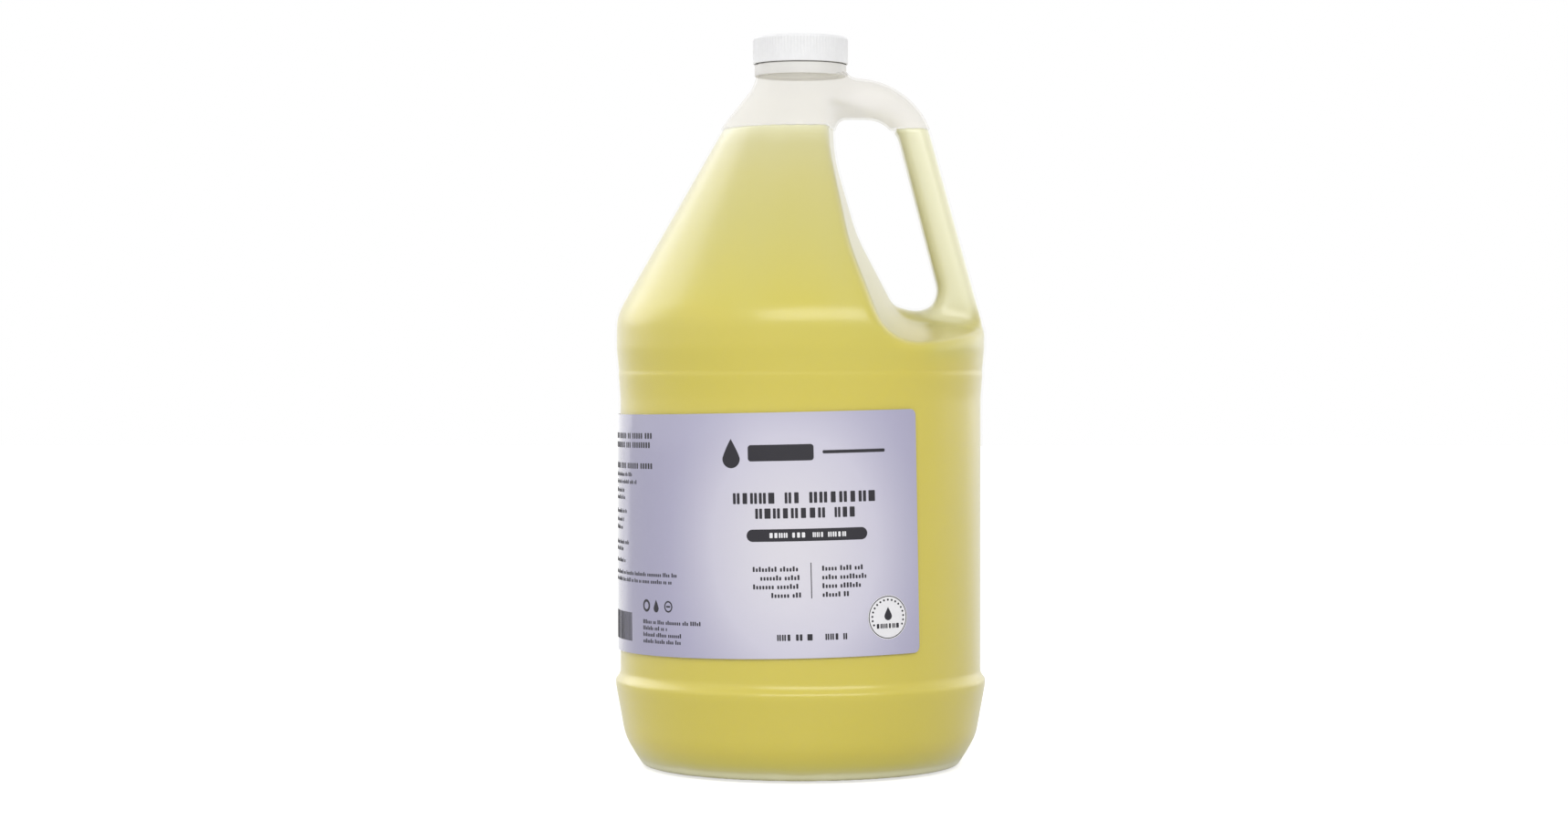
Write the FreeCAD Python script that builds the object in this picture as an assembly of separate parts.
"""One-US-gallon round jug of massage oil: a blow-moulded HDPE jug with an integral hollow
handle, a ribbed screw cap with its liner disc, a wrap label, and the oil inside.

Frame: millimetres, +Z up, origin at the centre of the foot ring on the table.
+X points to the handle, -Y to the middle of the label's front panel.
"""

import FreeCAD, Part
import math
import os

V = FreeCAD.Vector
OUT = "parts"
ORIGIN = V(0, 0, 0)
UP = V(0, 0, 1)

# ---------------------------------------------------------------- driving dimensions
WALL = 0.9             # blown wall of the jug
FOOT_INNER_R = 55.0    # foot ring that the jug stands on
FOOT_R = 65.6
PUSH_UP = 4.0          # height of the hollow under the jug
LOWER_BAND_R = 77.2    # widest band, above the rounded heel
PANEL_R = 75.2         # recessed label panel
PANEL_Z = (39.0, 161.4)
UPPER_BAND_R = 76.7
SHOULDER_Z = 185.9     # where the band and the cone would meet
CONE_TOP = (31.6, 264.6)
NECK_R, NECK_Z = 18.3, 281.3
FILL_Z = 262.6         # oil level

COLLAR_R = 18.9
COLLAR_Z = (284.2, 288.6)
COLLAR_ROUND = 1.2
COLLAR_SUNK = 0.5      # how far the collar's foot reaches into the neck
RIM_Z = 298.3          # sealing rim of the mouth
RIM_ROUND = 0.6
FINISH_R = 17.45       # root of the neck thread
BORE_R = 15.6          # bore of the mouth
BORE_FOOT_Z = 283.0

PITCH = 25.4 / 6       # six threads per inch, right-handed
NECK_THREAD = (1.15, 2.1, 1.1)   # height, width at the root, width at the crest
CAP_THREAD = (1.15, 2.2, 1.2)
NECK_THREAD_SPAN = (0, 1.2)      # turns from +X; the cap's ridge runs half a pitch above
CAP_THREAD_SPAN = (-0.4, 0.6)
NECK_THREAD_Z = 291.9  # middle of the neck's ridge at +X
THREAD_SUNK = 0.15     # how far a ridge reaches into the wall that bears it

HANDLE_HALF_DEPTH = 12.8
HANDLE_ROUND = 6.4     # rounding of the handle's section
SCOOP_REACH = 60.0     # depth at which the recess has its front outline
SCOOP_SHARE = 1.5      # the recess is lofted on to this many times that depth
SCOOP_ROUND = 2.2      # soft edge round the recess

CAP_R = 19.6           # over the ribs
CAP_Z = (289.3, 300.4)
CAP_BORE_R = 18.8
CAP_DISC = 1.2
CAP_TOP_ROUND = 1.4
CAP_LEAD_IN = 0.3      # the skirt draws in by this much at its foot
CAP_CLEAR = 0.1        # the rounding form stands this far off the ribs
RIB_COUNT = 90
RIB_DEPTH = 0.28
RIB_PROFILE = (0.0, 0.42, 0.58, 0.84)   # crest, end of crest, groove, end of groove
LINER_R = 18.4
LINER_T = CAP_Z[1] - CAP_DISC - RIM_Z

LABEL_T = 0.15
LABEL_HEIGHT = 96.4
LABEL_MID_Z = 98.5     # at the front
LABEL_SPAN = (-307.5, -52.5)   # degrees round from +X, seen from above
LABEL_TILT = 1.3       # degrees, stuck on slightly askew
LABEL_CORNER = 2.5


# ---------------------------------------------------------------- outlines in the XZ plane
def inset_corners(corners, inset):
    """Move an outline to its left by inset; arcs stay concentric. Open ends move squarely."""
    points = [V(x, 0, z) for x, z, _ in corners]
    closed = points[0].distanceToPoint(points[-1]) < 1e-9
    if closed:
        points.pop()
    count = len(points)
    moved = []
    for i, point in enumerate(points):
        arriving = None if not closed and i == 0 else (point - points[i - 1]).normalize()
        last = not closed and i == count - 1
        leaving = None if last else (points[(i + 1) % count] - point).normalize()
        arriving = arriving or leaving
        leaving = leaving or arriving
        left = V(-arriving.z - leaving.z, 0, arriving.x + leaving.x).normalize()
        scale = inset / math.cos(arriving.getAngle(leaving) / 2)
        turn = arriving.x * leaving.z - arriving.z * leaving.x
        radius = corners[i][2]
        if radius:
            radius = max(radius - math.copysign(inset, turn), 0.2)
        moved.append((point.x + left.x * scale, point.z + left.z * scale, radius))
    return moved + moved[:1] if closed else moved


def outline(corners):
    """Straight runs with tangent arcs. The last corner repeats the first when it closes."""
    points = [V(x, 0, z) for x, z, _ in corners]
    closed = points[0].distanceToPoint(points[-1]) < 1e-9
    if closed:
        points.pop()
    count = len(points)
    arcs, spans = {}, []
    for i, point in enumerate(points):
        radius = corners[i][2]
        start = end = point
        if radius and (closed or 0 < i < count - 1):
            back = (points[i - 1] - point).normalize()
            ahead = (points[(i + 1) % count] - point).normalize()
            half = back.getAngle(ahead) / 2
            start = point + back * (radius / math.tan(half))
            end = point + ahead * (radius / math.tan(half))
            middle = point + (back + ahead).normalize() * (radius / math.sin(half) - radius)
            arcs[i] = Part.Arc(start, middle, end).toShape()
        spans.append((start, end))
    run = []
    for i in range(count):
        if i in arcs:
            run.append(arcs[i])
        if closed or i + 1 < count:
            run.append(Part.makeLine(spans[i][1], spans[(i + 1) % count][0]))
    return Part.Wire(run)


def turned(corners):
    """Solid of revolution about the axis; corners run from the axis back to the axis."""
    return Part.Face(outline(corners + corners[:1])).revolve(ORIGIN, UP, 360)


def tube(outer, inner, low, high):
    body = Part.makeCylinder(outer, high - low, V(0, 0, low))
    return body.cut(Part.makeCylinder(inner, high - low, V(0, 0, low)))


# ---------------------------------------------------------------- jug
def turned_body(inset):
    """The jug as if it had no handle, up to the foot of the finish."""
    corners = [
        (0, PUSH_UP, 0),
        (FOOT_INNER_R - 8, PUSH_UP, 10),
        (FOOT_INNER_R, 0, 2),
        (FOOT_R, 0, 3),
        (69.4, 5.8, 12),
        (73.3, 12.6, 22),
        (LOWER_BAND_R, 34.0, 12),
        (LOWER_BAND_R, 36.4, 1.6),
        (PANEL_R, PANEL_Z[0], 3.5),
        (PANEL_R, PANEL_Z[1], 1.2),
        (UPPER_BAND_R, 163.9, 1.8),
        (UPPER_BAND_R, SHOULDER_Z, 22),
        (CONE_TOP[0], CONE_TOP[1], 8),
        (NECK_R, NECK_Z, 14),
        (NECK_R, COLLAR_Z[1], 0),
        (0, COLLAR_Z[1], 0),
    ]
    if inset:
        corners = inset_corners(corners, inset)
        corners[0] = (0, corners[0][1], 0)
        corners[-1] = (0, COLLAR_Z[1], 0)
        corners[-2] = (NECK_R - inset, COLLAR_Z[1], 0)
    return turned(corners)


def scoop(inset):
    """Recess for the hand: open to the right and upwards, deeper at the parting plane."""
    middle = [(14.4, 267.6, 0), (14.5, 252, 60), (24, 219, 55), (40.5, 187.4, 13), (110, 178, 0)]
    front = [(5, 280, 0), (13, 240, 60), (19, 213, 75), (36, 174, 22), (110, 168, 0)]
    sections = []
    for share in (0, SCOOP_SHARE):
        corners = []
        for at_middle, at_front in zip(middle, front):
            x, z, _ = (m + (f - m) * share for m, f in zip(at_middle, at_front))
            corners.append((x, z, at_front[2] if share else at_middle[2]))
        if inset:
            corners = inset_corners(corners, -inset)
        top_right = (corners[-1][0], corners[0][1], 0)
        wire = outline(corners + [top_right, corners[0]])
        wire.translate(V(0, -SCOOP_REACH * share, 0))
        sections.append(wire)
    half = Part.makeLoft(sections, True, True)
    return half.fuse(half.mirror(ORIGIN, V(0, 1, 0))).removeSplitter()


def handle_outline(inset):
    corners = [
        (2, 256, 0),
        (15.2, 256, 0),
        (14.9, 267.4, 5),
        (37.4, 267.2, 14),
        (58.1, 187.3, 9),
        (42, 187.3, 0),
        (40, 170, 0),
        (76.0, 170, 0),
        (76.2, 178, 12),
        (47.7, 283.1, 33),
        (2, 283.1, 0),
        (2, 256, 0),
    ]
    return inset_corners(corners, inset) if inset else corners


def handle(inset):
    """Rounded hollow grip, from inside the neck down into the shoulder."""
    half = HANDLE_HALF_DEPTH - inset
    face = Part.Face(outline(handle_outline(inset)))
    slab = face.extrude(V(0, 2 * half, 0)).translated(V(0, -half, 0))
    long_edges = []
    for edge in slab.Edges:
        on_side = all(abs(abs(vertex.Point.y) - half) < 1e-6 for vertex in edge.Vertexes)
        if on_side and edge.Length > 60:
            long_edges.append(edge)
    return slab.makeFillet(HANDLE_ROUND - inset, long_edges)


def round_recess_rim(body, radius):
    """Soften the edges where the recess's ruled walls break out of the turned surfaces."""
    rim = []
    for edge in body.Edges:
        faces = body.ancestorsOfType(edge, Part.Face)
        ruled = [face for face in faces if isinstance(face.Surface, Part.BSplineSurface)]
        if len(faces) == 2 and len(ruled) == 1:
            rim.append(edge)
    return body.makeFillet(radius, rim)


def bottle(inset):
    body = turned_body(inset).cut(scoop(inset))
    body = round_recess_rim(body, SCOOP_ROUND - inset)
    return body.fuse(handle(inset)).removeSplitter()


def thread_ridge(size, root_radius, outward, middle_z, span):
    """Helical ridge of trapezoid section from the first to the last turn of span; middle_z is
    the height of its middle at +X."""
    height, root_width, crest_width = size
    sunk = -THREAD_SUNK * outward
    crest = height * outward
    first, last = span
    start_z = middle_z + first * PITCH
    section = Part.makePolygon([
        V(root_radius + sunk, 0, start_z - root_width / 2),
        V(root_radius + crest, 0, start_z - crest_width / 2),
        V(root_radius + crest, 0, start_z + crest_width / 2),
        V(root_radius + sunk, 0, start_z + root_width / 2),
        V(root_radius + sunk, 0, start_z - root_width / 2),
    ])
    helix = Part.makeHelix(PITCH, PITCH * (last - first), root_radius)
    helix.translate(V(0, 0, start_z))
    ridge = Part.Wire(helix.Edges).makePipeShell([section], True, True)
    ridge.rotate(ORIGIN, UP, first * 360)
    return ridge


def jug():
    """One blown piece: body, handle, collar and threaded finish, hollow throughout."""
    finish = [
        (0, COLLAR_Z[0], 0),
        (NECK_R - COLLAR_SUNK, COLLAR_Z[0], 0),
        (COLLAR_R, COLLAR_Z[0], COLLAR_ROUND),
        (COLLAR_R, COLLAR_Z[1], COLLAR_ROUND),
        (FINISH_R, COLLAR_Z[1], 0),
        (FINISH_R, RIM_Z, RIM_ROUND),
        (0, RIM_Z, 0),
    ]
    solid = bottle(0).fuse(turned(finish))
    solid = solid.fuse(thread_ridge(NECK_THREAD, FINISH_R, 1, NECK_THREAD_Z, NECK_THREAD_SPAN))
    bore = Part.makeCylinder(BORE_R, RIM_Z - BORE_FOOT_Z + 1, V(0, 0, BORE_FOOT_Z))
    return solid.cut(cavity()).cut(bore)


def cavity():
    """The blown hollow, up to the foot of the bore."""
    hollow = bottle(WALL)
    above = Part.makeBox(200, 200, 40, V(-100, -100, BORE_FOOT_Z))
    return hollow.cut(above)


def oil():
    below = Part.makeBox(200, 200, FILL_Z, V(-100, -100, 0))
    return cavity().common(below)


def label():
    """Wrap label: an arc of the panel's sleeve, cut by a slanting slab, with round corners."""
    low, high = PANEL_Z
    span = LABEL_SPAN[1] - LABEL_SPAN[0]
    sleeve = tube(PANEL_R + LABEL_T, PANEL_R, low, high)
    wedge = Part.makeCylinder(2 * PANEL_R, high - low, V(0, 0, low), UP, span)
    wedge.rotate(ORIGIN, UP, LABEL_SPAN[0])
    slab = Part.makeBox(400, 400, LABEL_HEIGHT, V(-200, -200, LABEL_MID_Z - LABEL_HEIGHT / 2))
    slab.rotate(V(0, 0, LABEL_MID_Z), V(0, 1, 0), -LABEL_TILT)
    strip = sleeve.common(wedge).common(slab)
    corners = [edge for edge in strip.Edges if edge.Length < 2 * LABEL_T]
    return strip.makeFillet(LABEL_CORNER, corners)


def cap():
    """Screw cap: ribbed skirt, flat disc and an inside thread that mates with the neck."""
    base, top = CAP_Z
    radii = (CAP_R, CAP_R, CAP_R - RIB_DEPTH, CAP_R - RIB_DEPTH)
    points = []
    for rib in range(RIB_COUNT):
        for share, radius in zip(RIB_PROFILE, radii):
            angle = 2 * math.pi * (rib + share) / RIB_COUNT
            points.append(V(radius * math.cos(angle), radius * math.sin(angle), base))
    ribbed = Part.Face(Part.makePolygon(points + points[:1])).extrude(V(0, 0, top - base))
    form = turned([
        (0, base, 0),
        (CAP_R - CAP_LEAD_IN, base, 0),
        (CAP_R + CAP_CLEAR, base + 2 * CAP_LEAD_IN, 0),
        (CAP_R + CAP_CLEAR, top, CAP_TOP_ROUND),
        (0, top, 0),
    ])
    hollow = Part.makeCylinder(CAP_BORE_R, top - CAP_DISC - base, V(0, 0, base))
    middle_z = NECK_THREAD_Z + PITCH / 2
    ridge = thread_ridge(CAP_THREAD, CAP_BORE_R, -1, middle_z, CAP_THREAD_SPAN)
    return ribbed.common(form).cut(hollow).fuse(ridge)


def cap_liner():
    return Part.makeCylinder(LINER_R, LINER_T, V(0, 0, RIM_Z))


def save(node, shape):
    solids = shape.Solids
    result = solids[0] if len(solids) == 1 else Part.makeCompound(solids)
    result.exportStep(os.path.join(OUT, node + ".step"))
    box = result.BoundBox
    print(f"{node}: {len(solids)} solid(s), valid {result.isValid()}, {result.Volume / 1000:.2f} cm3,"
          f" x {box.XMin:.1f}..{box.XMax:.1f} z {box.ZMin:.1f}..{box.ZMax:.1f}")


if __name__ == "__main__":
    os.makedirs(OUT, exist_ok=True)
    for piece in (jug, oil, label, cap, cap_liner):
        save(piece.__name__, piece())
